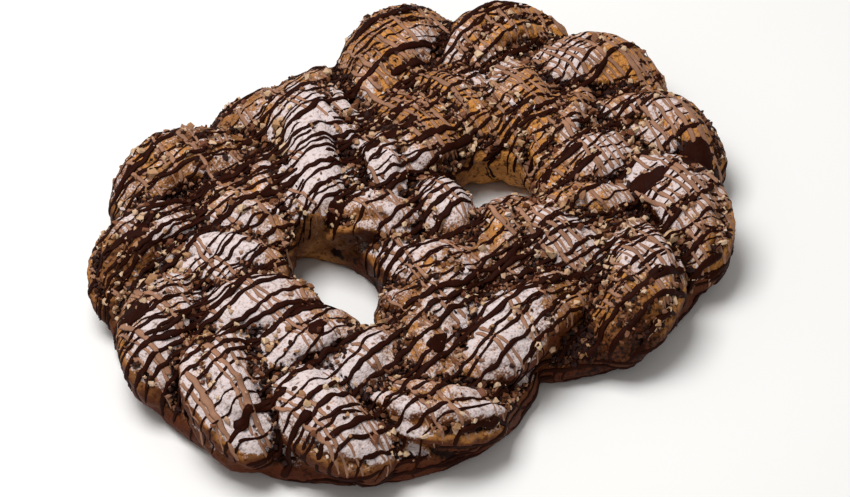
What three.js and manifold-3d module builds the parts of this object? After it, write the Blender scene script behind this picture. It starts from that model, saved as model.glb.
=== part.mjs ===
// A kringle: a sweet yeast dough of three ropes, plaited, laid in a figure of eight and baked, with
// chopped nuts on it and thick chocolate drizzled over it in lines along its length.
// Millimetres, +Z up. X runs along the eight, Y across it, and the flat underside is at z = 0.
import * as THREE from 'three';
import { mergeVertices } from 'three/addons/utils/BufferGeometryUtils.js';
import Module from 'manifold-3d';

const wasm = await Module();
wasm.setup();

// Overall sizes
const LENGTH = 427;
const WIDTH = 326;
const PLAIT_WIDTH = 130;
const BAR_WIDTH = 76; // the plait where its two passes cross, between the holes
const BAR_OFFSET = -3.5; // of the crossing, along X
const LOOP_CREST = 61; // from the crossing to each loop's widest place, along X
const QUARTERS = 4; // of the eight, from the crossing to a loop's end or back
const QUARTER_REACH = [-9, 0, 2, 8]; // how much further across each quarter is laid
const QUARTER_HEFT = [0.13, 0.02, 0, -0.2]; // by which share each quarter's plait is fuller
const CENTRE_SHIFT = new THREE.Vector3(-0.6, 2.4, 0); // brings the outline's middle to the origin

// The plait
const ROPES = 3;
const SWINGS = 42; // of all the ropes, each from one edge of the plait to the other
const FIRST_SWING = 1.35; // its place along the plait, in swings
const ROPE_HALF_WIDTH = 24;
const ROPE_HALF_HEIGHT = 22;
const ROPE_LEVEL = 24; // a rope's middle line above the underside
const WEAVE_HEIGHT = 12; // how far a rope rises and dips as it passes over and under
const SWELL = 0.12; // a rope is fuller on top, where it rose freely
const UNEVENNESS = 0.1; // hand-rolled ropes vary by this share
const TUCK = 0.6; // a rope's share of its size where it starts a swing, under its own turn
const TUCK_REACH = 1 / 3; // share of a swing over which it fills out
const CROSSING_LIFT = 12; // the upper pass over the lower one
const CROSSING_REACH = 0.08; // share of the plait's length that the crossing shapes, each way

// The base: the ropes' undersides, run together as they rose and baked
const BASE_INSET = 11; // from the plait's edges
const BASE_LEVEL = 10;
const BASE_HALF_HEIGHT = 24;

// The rope that closes the plait, laid over the joint at the far side
const CLOSING_START = new THREE.Vector3(4, 122, 38);
const CLOSING_END = new THREE.Vector3(-40, 44, 46);
const CLOSING_HALF_WIDTH = 18;
const CLOSING_HALF_HEIGHT = 19;
const CLOSING_BOW = 6; // the rope's rise between its ends

// Chocolate drizzle: the thickest lines
const DRIZZLE_LINES = 8;
const DRIZZLE_HALF_WIDTH = 2.6;
const DRIZZLE_LIFT = 0.4; // of a line's middle above the dough
const DRIZZLE_WAVE = 6; // how far a line wanders across its direction
const DRIZZLE_WAVE_LENGTH = 258;
const DRIZZLE_PHASE = 2.1; // in radians, from each line's wave to the next
const DRIZZLE_STEP = 16;
const DRIZZLE_LEAST_STEPS = 3; // of a line between two gaps
const DRIZZLE_SPAN = 5; // a line bridges dips in the dough this far each way

// Chopped nuts: the largest pieces
const NUTS = 48;
const NUT_RADIUS = 3.4;
const NUT_SHAPE = new THREE.Vector3(1.2, 0.9, 0.8); // long, wide and high, in radii
const NUT_SPREAD = 0.25; // the pieces vary by this share
const NUT_SINK = 0.3; // share of the radius that sits in the dough
const NUT_LEAST_LEVEL = 36; // lower down, on the sides, nuts fall off

// Facets
const ROPE_SIDES = 9;
const SWING_STEPS = 6;
const CAP_STEPS = 2;
const BASE_STEPS = 10;
const DRIZZLE_SIDES = 4;

const X_REACH = (LENGTH - PLAIT_WIDTH) / 2;
const Y_REACH = (WIDTH - PLAIT_WIDTH) / 2;
const CREST_TERM = LOOP_CREST * Math.SQRT2;
const TAU = 2 * Math.PI;
const UP = new THREE.Vector3(0, 0, 1);

// The plait's middle line in plan: an eight whose loops are rounder than a plain lemniscate's.
class Eight extends THREE.Curve {
  getPoint(share, target = new THREE.Vector3()) {
    const turn = TAU * share;
    const wide = (X_REACH + CREST_TERM) / 2;
    const round = (CREST_TERM - X_REACH) / 2;
    const reach = Y_REACH + QUARTER_REACH[Math.floor(QUARTERS * share) % QUARTERS];
    return target.set(
      wide * Math.sin(turn) + round * Math.sin(3 * turn) + BAR_OFFSET * Math.cos(turn) ** 2,
      reach * Math.sin(2 * turn),
      0,
    );
  }
}

// 1 where the plait's share of length is at the centre, falling smoothly to 0 at the reach.
function nearness(share, centre) {
  const gap = Math.abs(share - centre);
  return gap < CROSSING_REACH ? Math.cos((gap / CROSSING_REACH) * (Math.PI / 2)) ** 2 : 0;
}

// The plait's share of its usual width, less towards the crossing.
function widthShare(along) {
  const near = nearness(along, 0) + nearness(along, 0.5) + nearness(along, 1);
  const heft = QUARTER_HEFT[Math.floor(QUARTERS * along) % QUARTERS];
  return 1 - (1 - BAR_WIDTH / PLAIT_WIDTH) * near + heft * Math.sin(Math.PI * QUARTERS * along) ** 2;
}

// A repeatable unevenness between -1 and 1 for each swing.
function uneven(swing) {
  return 0.6 * Math.sin(2.4 * swing) + 0.4 * Math.sin(5.3 * swing);
}

const eight = new Eight();
eight.arcLengthDivisions = 800;

// One swing of a rope from edge to edge of the plait, at a share of the swing: the rope turns in from
// one edge, dips under its neighbour to the middle, and rises over the next to turn at the other edge.
function swingAt(swing, share) {
  const place = (swing + FIRST_SWING + ROPES * (share - 0.5)) / SWINGS;
  const along = ((place % 1) + 1) % 1;
  const middle = eight.getPointAt(along);
  const side = new THREE.Vector3().crossVectors(UP, eight.getTangentAt(along));
  const wide = widthShare(along);
  const wave = -Math.sin(TAU * share);
  const filled = TUCK + (1 - TUCK) * Math.min(1, share / TUCK_REACH);
  const fullness = wide * filled * (1 + SWELL * wave + UNEVENNESS * uneven(swing));
  const edge = swing % 2 ? 1 : -1;
  const reach = (PLAIT_WIDTH / 2 - ROPE_HALF_WIDTH) * wide;
  return {
    point: middle
      .addScaledVector(side, edge * reach * Math.sin(Math.PI * (share - 0.5)))
      .addScaledVector(UP, ROPE_LEVEL + WEAVE_HEIGHT * wave + CROSSING_LIFT * nearness(along, 0.5)),
    halfWidth: ROPE_HALF_WIDTH * fullness,
    halfHeight: ROPE_HALF_HEIGHT * fullness,
  };
}

function baseAt(quarter, share) {
  const along = (quarter + share) / QUARTERS;
  return {
    point: eight.getPointAt(along).addScaledVector(UP, BASE_LEVEL),
    halfWidth: (PLAIT_WIDTH / 2 - BASE_INSET) * widthShare(along),
    halfHeight: BASE_HALF_HEIGHT,
  };
}

function closingRopeAt(share) {
  return {
    point: new THREE.Vector3()
      .lerpVectors(CLOSING_START, CLOSING_END, share)
      .addScaledVector(UP, CLOSING_BOW * Math.sin(Math.PI * share)),
    halfWidth: CLOSING_HALF_WIDTH,
    halfHeight: CLOSING_HALF_HEIGHT,
  };
}

// A capsule bent along a path: at(share) gives its point and half sizes from end to end.
function bentCapsule(at, steps, sides, capSteps) {
  const capsule = new THREE.CapsuleGeometry(1, steps, capSteps, sides, steps);
  const place = capsule.getAttribute('position');
  const vertex = new THREE.Vector3();
  for (let i = 0; i < place.count; i++) {
    vertex.fromBufferAttribute(place, i);
    const axial = vertex.y / steps + 0.5;
    const share = Math.min(1, Math.max(0, axial));
    const { point, halfWidth, halfHeight } = at(share);
    const span = 0.5 / steps;
    const forward = at(Math.min(1, share + span)).point.clone();
    forward.sub(at(Math.max(0, share - span)).point).normalize();
    const side = new THREE.Vector3().crossVectors(UP, forward).normalize();
    const top = new THREE.Vector3().crossVectors(forward, side);
    const beyond = (axial - share) * steps * halfWidth;
    point.addScaledVector(side, -vertex.x * halfWidth);
    point.addScaledVector(top, vertex.z * halfHeight);
    point.addScaledVector(forward, beyond);
    place.setXYZ(i, point.x, point.y, point.z);
  }
  return capsule;
}

// A closed three.js geometry as a solid that can be joined and cut.
function solidOf(geometry) {
  const bare = geometry.clone();
  bare.deleteAttribute('normal');
  bare.deleteAttribute('uv');
  const merged = mergeVertices(bare, 1e-3);
  return new wasm.Manifold(
    new wasm.Mesh({
      numProp: 3,
      vertProperties: merged.getAttribute('position').array,
      triVerts: new Uint32Array(merged.index.array),
    }),
  );
}

function geometryOf(solid) {
  const mesh = solid.getMesh();
  return new THREE.BufferGeometry()
    .setAttribute('position', new THREE.BufferAttribute(new Float32Array(mesh.vertProperties), 3))
    .setIndex(new THREE.BufferAttribute(mesh.triVerts, 1));
}

// The largest closed shell of a solid: a hollow sealed between the ropes is filled by leaving it out.
function outerShell(solid) {
  return solid.decompose().reduce((best, body) => (body.volume() > best.volume() ? body : best));
}

function plait() {
  const ropes = Array.from({ length: SWINGS }, (_, swing) =>
    solidOf(bentCapsule((share) => swingAt(swing, share), SWING_STEPS, ROPE_SIDES, CAP_STEPS)),
  );
  ropes.push(solidOf(bentCapsule(closingRopeAt, SWING_STEPS, ROPE_SIDES, CAP_STEPS)));
  const base = Array.from({ length: QUARTERS }, (_, quarter) =>
    solidOf(bentCapsule((share) => baseAt(quarter, share), BASE_STEPS, ROPE_SIDES, 1)),
  );
  const tray = new THREE.BoxGeometry(2 * LENGTH, 2 * WIDTH, LENGTH).translate(0, 0, -LENGTH / 2);
  return outerShell(wasm.Manifold.union([...ropes, ...base]).subtract(solidOf(tray)));
}

const bare = plait();
const bareMesh = new THREE.Mesh(geometryOf(bare));
const plumb = new THREE.Raycaster(new THREE.Vector3(), UP.clone().negate());

// The dough's top point at a place in plan, or undefined over a hole and outside the outline.
function topAt(x, y) {
  plumb.ray.origin.set(x, y, LENGTH);
  return plumb.intersectObject(bareMesh)[0]?.point;
}

// The stretches of one drizzled line that lie on dough, each a list of points.
function drizzleStretches(line) {
  const across = ((line + 0.5) / DRIZZLE_LINES - 0.5) * WIDTH;
  const stretches = [[]];
  for (let x = -LENGTH / 2; x <= LENGTH / 2; x += DRIZZLE_STEP) {
    const y = across + DRIZZLE_WAVE * Math.sin((TAU * x) / DRIZZLE_WAVE_LENGTH + DRIZZLE_PHASE * line);
    const tops = [-DRIZZLE_SPAN, 0, DRIZZLE_SPAN].map((ahead) => topAt(x + ahead, y));
    if (tops.every(Boolean)) {
      const level = Math.max(...tops.map((top) => top.z)) + DRIZZLE_LIFT;
      stretches.at(-1).push(new THREE.Vector3(x, y, level));
    } else if (stretches.at(-1).length) {
      stretches.push([]);
    }
  }
  return stretches.filter((points) => points.length > DRIZZLE_LEAST_STEPS);
}

function drizzle(points) {
  const steps = points.length - 1;
  const at = (share) => {
    const whole = Math.min(steps - 1, Math.floor(share * steps));
    return {
      point: points[whole].clone().lerp(points[whole + 1], share * steps - whole),
      halfWidth: DRIZZLE_HALF_WIDTH,
      halfHeight: DRIZZLE_HALF_WIDTH,
    };
  };
  return solidOf(bentCapsule(at, steps, DRIZZLE_SIDES, 1));
}

// The index's draw between 0 and 1, spread evenly and the same each time: its digits in the base, reversed.
function spread(index, base) {
  let draw = 0;
  for (let left = index, weight = 1 / base; left > 0; left = Math.floor(left / base), weight /= base) {
    draw += (left % base) * weight;
  }
  return draw;
}

function nuts() {
  const pieces = [];
  for (let index = 1; pieces.length < NUTS; index++) {
    const top = topAt((spread(index, 2) - 0.5) * LENGTH, (spread(index, 3) - 0.5) * WIDTH);
    if (!top || top.z < NUT_LEAST_LEVEL) continue;
    const size = NUT_RADIUS * (1 + NUT_SPREAD * (2 * spread(index, 5) - 1));
    const nut = new THREE.IcosahedronGeometry(size, 0);
    nut.scale(...NUT_SHAPE).rotateZ(TAU * spread(index, 7));
    nut.translate(top.x, top.y, top.z + size * (NUT_SHAPE.z - NUT_SINK));
    pieces.push(solidOf(nut));
  }
  return pieces;
}

// The dough with the drizzle and the nuts that lie on it, as one body.
function toppedDough() {
  const lines = Array.from({ length: DRIZZLE_LINES }, (_, line) => drizzleStretches(line));
  const drizzles = lines.flat().map(drizzle);
  return outerShell(wasm.Manifold.union([bare, ...drizzles, ...nuts()]));
}

const dough = new THREE.MeshStandardMaterial({ color: 0xb07a45, roughness: 0.6, metalness: 0 });
const kringle = new THREE.Group();
const body = new THREE.Mesh(geometryOf(toppedDough()), dough);
body.name = 'kringle';
body.position.copy(CENTRE_SHIFT);
kringle.add(body);

export default kringle;
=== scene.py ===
"""A large kringle: plaited yeast dough in a figure of eight, dusted with icing sugar, scattered with
chopped nuts and crumbs, and drizzled with milk chocolate one way and dark chocolate the other.

Metres, +Z up. X runs along the eight, Y across it, and the flat underside is at z = 0.
"""
import math
from functools import partial

import bpy
import numpy as np
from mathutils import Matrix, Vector
from mathutils.bvhtree import BVHTree


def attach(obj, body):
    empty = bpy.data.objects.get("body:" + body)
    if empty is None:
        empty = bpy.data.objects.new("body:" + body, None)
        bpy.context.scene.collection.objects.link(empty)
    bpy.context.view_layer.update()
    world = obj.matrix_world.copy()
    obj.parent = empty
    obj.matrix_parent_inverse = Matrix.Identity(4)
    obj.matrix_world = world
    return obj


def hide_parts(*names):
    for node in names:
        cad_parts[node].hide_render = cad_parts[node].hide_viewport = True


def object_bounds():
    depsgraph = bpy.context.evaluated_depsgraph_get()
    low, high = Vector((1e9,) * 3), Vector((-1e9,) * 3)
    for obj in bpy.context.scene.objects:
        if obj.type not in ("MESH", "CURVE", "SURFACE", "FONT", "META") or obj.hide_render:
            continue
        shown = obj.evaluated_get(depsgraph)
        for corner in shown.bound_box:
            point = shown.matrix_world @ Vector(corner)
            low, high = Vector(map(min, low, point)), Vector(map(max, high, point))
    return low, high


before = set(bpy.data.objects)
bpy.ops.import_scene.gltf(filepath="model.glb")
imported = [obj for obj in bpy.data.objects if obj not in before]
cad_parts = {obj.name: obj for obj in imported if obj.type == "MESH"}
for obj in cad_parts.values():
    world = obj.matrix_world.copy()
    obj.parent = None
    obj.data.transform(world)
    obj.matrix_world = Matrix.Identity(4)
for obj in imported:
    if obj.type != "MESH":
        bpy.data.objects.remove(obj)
CAD_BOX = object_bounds()

bl_info = {
    "name": "Kringle",
    "version": (1, 0, 0),
    "blender": (4, 5, 0),
    "location": "View3D > Sidebar > Kringle",
    "description": "Builds a plaited kringle with its sugar, nuts and crossed chocolate drizzle",
    "category": "Add Mesh",
}

BODY = "root"
NODE = "kringle"
MM = 0.001
TAU = math.tau
UP = np.array((0.0, 0.0, 1.0))
BLACK = (0.0, 0.0, 0.0, 1.0)
WHITE = (1.0, 1.0, 1.0, 1.0)
TINY = 1e-9  # keeps a divisor above 0

# The pieces, in the order that seeds their random draws
PIECES = ("dough", "milk_drizzle", "dark_drizzle", "chopped_nuts", "crumbs")

# The plait's course
ROPES = 3
SWINGS = 42  # of all the ropes, each from one edge of the plait to the other
FIRST_SWING = 1.35  # its place along the plait, in swings
QUARTERS = 4  # of the eight, from the crossing to a loop's end or back
QUARTER_REACH = np.array((-9, 0, 2, 8)) * MM  # how much further across each quarter is laid
QUARTER_HEFT = np.array((0.13, 0.02, 0.0, -0.2))  # by which share each quarter's plait is fuller
CENTRE_SHIFT = np.array((-0.6, 2.4, 0.0)) * MM  # brings the outline's middle to the origin
CROSSING_REACH = 0.08  # share of the plait's length that the crossing shapes, each way
UPPER_PASS = 0.5  # share of the plait's length at which it is laid over its own start
COURSE_DIVISIONS = 800
SWELL = 0.12  # a rope is fuller on top, where it rose freely
UNEVENNESS = 0.1  # hand-rolled ropes vary by this share
UNEVEN_WAVES = ((0.6, 2.4), (0.4, 5.3))  # each wave's part in that, and its turn from swing to swing
TUCK = 0.6  # a rope's share of its size where it starts a swing, under its own turn
TUCK_REACH = 1 / 3  # share of a swing over which it fills out
CLOSING_START = np.array((4, 122, 38)) * MM  # the rope laid over the joint at the far side
CLOSING_END = np.array((-40, 44, 46)) * MM
CLOSING_BOW = 6 * MM

# How a blank sphere is drawn out to a rope, and the grooves along it
CAP_LATITUDE = 0.25  # of a half turn: from here to its poles the sphere becomes the round ends
HEADING_SPAN = 0.05  # share of the rope, each way, that gives its heading
GROOVE_TWIST = 1.2  # turn of the grooves along a rope, in radians
GROOVE_CHANGE = 0.6  # share by which their depth changes from rope to rope
GROOVE_CHANGE_TURN = 1.7  # how fast it does, in radians for each rope
ROPE_LOBES = (5, 6, 7)  # between the grooves, by turns
ROPE_PHASE = 0.9  # turn of the grooves from one rope to the next, in radians
CLOSING_GROOVE = 0.3  # share of the usual depth on the closing rope
CLOSING_LOBES = 3
CLOSING_PHASE = 0.4

# Thickest lines of dark drizzle, as the solid has them
THICK_LINES = 8
THICK_WAVE = 6 * MM
THICK_WAVE_LENGTH = 258 * MM
THICK_PHASE = 2.1

# Where icing sugar lies thickest: place in plan and reach in millimetres, then strength
SUGAR_PATCHES = (
    (-10, 88, 20, 1.15), (-32, 58, 21, 1.2), (-130, 57, 25, 1.0), (-143, -7, 25, 1.0), (-187, 13, 15, 0.7),
    (-180, -58, 28, 1.0), (-187, -88, 20, 0.8), (-126, -65, 25, 1.0), (-205, -40, 15, 0.5),
    (-150, -129, 30, 0.9), (-123, -129, 20, 0.8), (-20, -95, 22, 0.8), (-20, -132, 15, 0.7),
    (-28, -17, 20, 0.5), (23, -7, 12, 1.0), (128, -28, 18, 1.0), (124, -65, 20, 1.0),
    (46, -82, 15, 0.7), (80, -119, 15, 0.7), (99, 101, 15, 0.7), (155, 40, 15, 0.7),
    (168, -31, 12, 0.7), (-72, 128, 30, 0.2), (-143, 101, 25, 0.4), (26, 104, 15, 0.5),
    (-1, 37, 20, 1.0), (-55, -150, 20, 0.7), (92, -114, 20, 1.0), (64, -98, 14, 0.9), (150, -58, 12, 0.9),
    (165, -25, 10, 0.8), (-30, -160, 12, 0.8), (18, 16, 14, 0.9), (46, -14, 12, 0.8),
    (112, -92, 20, 0.9), (58, -70, 16, 0.9), (140, -98, 16, 0.8), (108, 60, 14, 0.7),
)

# Where the crust is toasted darkest and smeared with chocolate, in the same way
TOASTED_PATCHES = (
    (20, -143, 15, 0.9), (46, -158, 17, 1.0), (-165, 80, 18, 0.6), (-60, 130, 20, 0.35),
)

# Where the holes' walls stayed golden, in the same way
GOLDEN_PATCHES = ((72, 16, 13, 1.0), (87, 4, 13, 1.0), (-49, 37, 9, 1.0))

# Where chopped nuts rolled together, in the same way
NUT_HEAPS = (
    (-115, 119, 14, 1.0), (-106, 90, 14, 1.0), (-142, 93, 16, 1.0), (-161, 87, 14, 1.0),
    (-167, 69, 12, 1.0), (-152, 48, 14, 0.8), (-92, 76, 12, 0.8), (63, 100, 14, 0.8),
    (25, 68, 16, 1.0), (-17, 46, 12, 0.7), (74, -56, 12, 1.0), (95, -79, 14, 1.0),
    (34, -103, 14, 1.0), (-14, -74, 12, 0.8), (4, 17, 14, 1.0),
    (129, -106, 14, 0.9), (150, -102, 12, 0.9),
)

# Where dark chocolate ran together: place in plan, half length along X and half width, in millimetres
DARK_POOLS = (
    (165, -75, 18, 12), (123, -75, 12, 7), (-188, 42, 10, 8), (-41, 29, 6, 6), (-110, -40, 8, 6),
    (-60, -92, 8, 5), (-150, 90, 9, 5),
)

# Where a dark line was poured widest: its start and end along X, its place across and half its width
DARK_STROKES = (
    (-190, -150, -62, 3.4), (-190, -152, -88, 3.4), (52, 130, -138, 2.6), (34, 68, 28, 2.8),
    (30, 58, 40, 2.4), (56, 84, 96, 2.8), (60, 124, 137, 2.6), (104, 160, 104, 2.6), (62, 112, -28, 2.4),
    (72, 118, -41, 2.2), (36, 104, -149, 2.2), (28, 84, -157, 1.8), (70, 136, -127, 1.8),
)

# How the dough's upper side is felt
GRID_MARGIN = 10  # steps of the grid beyond the solid
LEVEL_REACH = 3 * MM  # over which bumps are levelled
HOLLOW_REACH = 9 * MM  # a hollow lies below the mean of the dough this far around
HOLLOW_DEPTH = 3 * MM  # at which a hollow counts in full
EDGE_REACH = 6 * MM  # near the outer edge, nothing counts as a hollow
EDGE_SHARES = (0.7, 0.98)  # of dough around a place, from where none of its hollow counts to all of it
INLAND_REACH = 2 * MM
INLAND_SHARE = 0.97  # of dough around a bit that doesn't hang over the edge
STEEPEST = 1.4  # steeper slopes are read as this one
LEAST_DOUGH = 1e-6  # share of dough that a mean is divided by at least

# How the crust blisters
ROUGH_REACH = 16 * MM  # size of its rougher patches
ROUGH_START = 0.3  # share of a blister's full height, before the next two change it
ROUGH_GAIN = 0.8  # added in rough patches and in hollows
SUGAR_SMOOTHS = 0.2  # taken off under thick sugar
ROUGH_LEAST = 0.55  # share that is left everywhere
SHARP_EDGE = math.radians(60)  # edges past this aren't shaded smooth

# How sugar, browning, stains and painted shade lie on the crust; facing is the upward part of its normal
DUSTING = 0.35  # sugar all over
PATCH_DUSTING = 0.9  # more of it in a patch
PALENESS = 0.18  # how much paler the end towards +X baked
PALE_PLACES = (10 * MM, 60 * MM)  # along X, over which that sets in
PALE_LOSS = 0.6  # share of the paleness by which less sugar lies there
CLING = 0.3  # share of the sugar that clings to an upright side
CLING_FACING = (0, 0.8)  # from an upright side to where all of it lies
SUGAR_LEVELS = (8 * MM, 30 * MM)  # heights over which sugar sets in
HOLLOW_LOSS = 0.35  # sugar missing in a full hollow
DIP_REACH = 4 * MM  # size of the dips between blisters
DIP_LOSS = 0.5  # sugar missing in a dip of 1 mm or more
TOASTED_LOSS = 0.5  # sugar missing where the crust is toasted
HEAP_LOSS = 0.1  # sugar missing under heaps of nuts
STAIN_FACING = (-0.2, 0.4)  # over which a hollow's chocolate stain and painted shade set in
TOASTED_STAIN = 0.25  # dark chocolate smear where the crust is toasted, in the crease colour
LOW_LEVELS = (12 * MM, 40 * MM)  # heights over which the low sides' colour ends
STEEP_BROWNING = 0.95  # share of that colour on an upright side
STEEP_FACING = (0.1, 0.7)  # over which that ends
GOLDEN_GAIN = 1.2  # how fully golden patches keep that colour off

# Width in millimetres and detail of the crust's browning and freckles, and of the sugar's grains and
# clouds. The grains are drawn coarser than real ones, so that they show.
DOUGH_PATTERNS = ((22, 4.0), (2.5, 3.0), (1.3, 3.0), (9, 3.0))

# How chocolate lies in lines
LINE_SIDES = 6  # of a line's cross-section
LINE_UNEVENNESS = 0.3  # share by which a line is thick and thin along its way
LINE_PULSES = ((0.6, 9 * MM), (0.4, 2.7 * MM))  # each wave's part in that, and its length for a radian
LINE_LIFT = 0.35  # of its half height, from the dough to its middle
LINE_THINNING = 0.3  # share by which it is thinner where it runs straight down
LINE_UPRIGHT = 0.3  # how far its top leans from the dough's normal to straight up
LEAST_END = 0.02  # share of its round end that is left off at the tip
LEAST_RINGS = 6  # along its way
LEAST_RUN = 8  # points of a stretch that is too short to be poured
DRIP_STEP = 1.5 * MM
DRIP_LEAST = 0.2  # share of the longest drip's fall
DRIP_LEVEL = 3 * MM  # above the underside, where drips end
DRIP_REACH = 20 * MM  # in and out from a line's end, where the side below it is looked for
DRIP_JUMP = 4 * MM  # gap in the side that ends a drip
FLANK_START = 1.5  # where rays onto a side start, as a share of the solid's reach along Y
FLANK_JUMP = 2 * MM  # gap in a side that breaks a line
FLANK_LEVELLING = 2  # points each way over which such a line is levelled
POOL_RINGS = 7
POOL_SPOKES = 30
POOL_WAVES = ((2, 0.16), (3, 0.12), (5, 0.07))  # number around a pool's edge, and share of its size
POOL_THICKNESS = 1.6 * MM
POOL_SKIRT = 0.6 * MM  # by which its edge reaches into the dough

# Where lines of chocolate run, in millimetres. A sway has, for each of its waves, least and most
# height, then least and most length.
HIDING_SUGAR = 1.02  # strength of a sugar patch that hides most lines
HIDING_TOAST = 0.4  # strength of a toasted patch that shows no milk chocolate
MILK_START = 6  # along X, from the solid's edge
MILK_DENSE_FROM = 30  # along X, from where groups are dense
MILK_LINES = {"dense": (5, 9), "loose": (2, 4)}  # in a group: the fewest, and one above the most
MILK_GAPS = {"dense": (1, 4), "loose": (9, 18)}  # between groups
MILK_SPACING = (3, 6)  # in a group
MILK_GROUP_SWAY = ((2, 5, 110, 200),)
MILK_LINE_SWAY = ((0.5, 1, 30, 70), (0.2, 0.5, 9, 16))
MILK_WIDTHS = (0.6, 0.9, 1.2, 1.6)  # shares of the usual one
MILK_WIDTH_CHANCES = (0.3, 0.35, 0.25, 0.1)
MILK_FALL = 0.4  # share of the dark lines' drips
DARK_SHIFT = (-2, 2)  # of a thinner line from its even place
DARK_WIDE_SWAY = ((1, 3, 90, 200),)
DARK_FINE_SWAY = ((0.5, 1.4, 20, 45), (0.2, 0.7, 8, 15))
DARK_WIDTHS = (0.6, 1.6)  # shares of the usual one
DARK_NEAR, DARK_FAR, DARK_SHORT = 1.25, 1.05, 0.85  # bolder at the front, finer at the back or if short
DARK_SHORT_STARTS = (-60, 20)  # along X
DARK_THINS = (40, 90)  # along X, from where a line is thinner
DARK_THINNER = 0.8  # share of its width there
DARK_HIDDEN = 3  # of so many lines, only one shows through hiding sugar
STROKE_SWAY = ((0.5, 1.4, 40, 60),)
FLANK_LEVELS = (6, 30, 4)  # first height, end and step
FLANK_SWAY = ((1, 3, 60, 140), (0.3, 0.8, 15, 30))
FLANK_WIDTHS = (0.7, 1.9)
FLANK_BREAKS = ((1, 1, 90, 160), (1, 1, 40, 70))  # a sway that breaks a line where it goes low
FLANK_BREAK_LEVEL = -0.5

# How chopped nuts and crumbs lie; a weight says how likely a place is
NUT_HOLLOW = 0.2  # added to each hollow, so that some nuts rest on level dough
NUT_HOLLOW_MOST = 0.7
NUT_REACH = 14 * MM  # size of the patches with more nuts
NUT_WEIGHT = 0.01  # of every place
NUT_HEAP_WEIGHT = 0.14  # more of it in a heap
NUT_LEVEL = 22 * MM  # lowest on the dough
NUT_SEAT = 0.5  # height of a nut's middle, as a share of its least half size
CRUMB_HOLLOWS = (0.05, 0.6)  # depths over which crumbs gather
CRUMB_REACH = 12 * MM  # size of the patches with more crumbs
CRUMB_PATCH_WEIGHT = 0.12
CRUMB_WEIGHT = 0.006  # of every place
CRUMB_TOASTED_WEIGHT = 0.3
CRUMB_SUGAR_LOSS = 0.9  # share of the crumbs missing on thick sugar
CRUMB_LEVEL = 14 * MM  # lowest on the dough
CRUMB_SEAT = 0.4  # as for a nut
CRUMB_HEAP = 2  # millimetres that crumbs lie on each other in a full hollow
CRUMB_TONES = 1.1  # range of their tones, with more of the palest
CRUMB_HOLLOW_TONE = 0.45  # darker by this in a full hollow
CRUMB_TOASTED_TONE = 0.5  # and by this where the crust is toasted
PATCH_CONTRAST = 3  # power that leaves most bits in the middle of patches

# The stage
FLOOR_SIZE = 12
KEY_PLACE = Vector((-0.3, 0.4, 1.65))
KEY_SIZE = 0.9


def linear(colour):
    """An sRGB hex colour as linear red, green, blue and alpha."""
    shares = [int(colour[place:place + 2], 16) / 255 for place in (1, 3, 5)]
    curved = [share / 12.92 if share <= 0.04045 else ((share + 0.055) / 1.055) ** 2.4 for share in shares]
    return (*curved, 1.0)


def a_length(name, description, millimetres):
    """A length property, its default given in millimetres."""
    return bpy.props.FloatProperty(
        name=name, description=description, default=millimetres * MM, unit="LENGTH", precision=4)


def a_strength(name, description, strength, unit="NONE"):
    """A property for how strong a light is."""
    return bpy.props.FloatProperty(name=name, description=description, default=strength, unit=unit)


def a_count(name, description, count):
    """A property that counts things."""
    return bpy.props.IntProperty(name=name, description=description, default=count, min=0)


def a_colour(name, description, colour):
    """A colour property, its default given as an sRGB hex value."""
    return bpy.props.FloatVectorProperty(
        name=name, description=description, default=linear(colour), subtype="COLOR", size=4, min=0, max=1)


def an_angle(name, description, degrees):
    """An angle property, its default given in degrees."""
    return bpy.props.FloatProperty(
        name=name, description=description, default=math.radians(degrees), subtype="ANGLE")


class KringleDough(bpy.types.PropertyGroup):
    """Sizes of the plaited dough"""

    eight_length: a_length("Length", "The eight from end to end, before baking rounds it", 427)
    eight_width: a_length("Width", "The eight across its loops", 326)
    plait_width: a_length("Plait width", "The plait across its three ropes", 130)
    bar_width: a_length("Bar width", "The plait where its two passes cross", 76)
    bar_offset: a_length("Bar offset", "The crossing's place along the eight", -3.5)
    loop_crest: a_length("Loop crest", "From the crossing to each loop's widest place", 61)
    rope_half_width: a_length("Rope half width", "Half of one rope across", 24)
    rope_half_height: a_length("Rope half height", "Half of one rope's thickness", 22)
    rope_level: a_length("Rope level", "A rope's middle line above the underside", 24)
    weave_height: a_length("Weave height", "How far a rope rises and dips in the weave", 12)
    crossing_lift: a_length("Crossing lift", "The upper pass above the lower one", 12)
    base_inset: a_length("Base inset", "The run-together base, in from the plait's edges", 11)
    base_level: a_length("Base level", "The base's middle above the underside", 10)
    base_half_height: a_length("Base half height", "Half the base's height", 24)
    closing_half_width: a_length("Closing rope half width", "Of the rope over the joint", 18)
    closing_half_height: a_length("Closing rope half height", "Of the rope over the joint", 19)
    groove_depth: a_length("Groove depth", "Creases that run along a rope between its layers", 3.5)
    lump_size: a_length("Lump size", "Width of the swellings of the risen dough", 24)
    lump_height: a_length("Lump height", "Height of the swellings", 3)
    blister_size: a_length("Blister size", "Width of the crust's wrinkles and blisters", 7)
    blister_height: a_length("Blister height", "Height of the wrinkles and blisters", 2.8)
    fleck_size: a_length("Fleck size", "Width of the crust's finest unevenness", 3)
    fleck_height: a_length("Fleck height", "Height of the finest unevenness", 1)
    mesh_step: a_length("Mesh step", "Size of the dough mesh's faces", 1.8)


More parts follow.
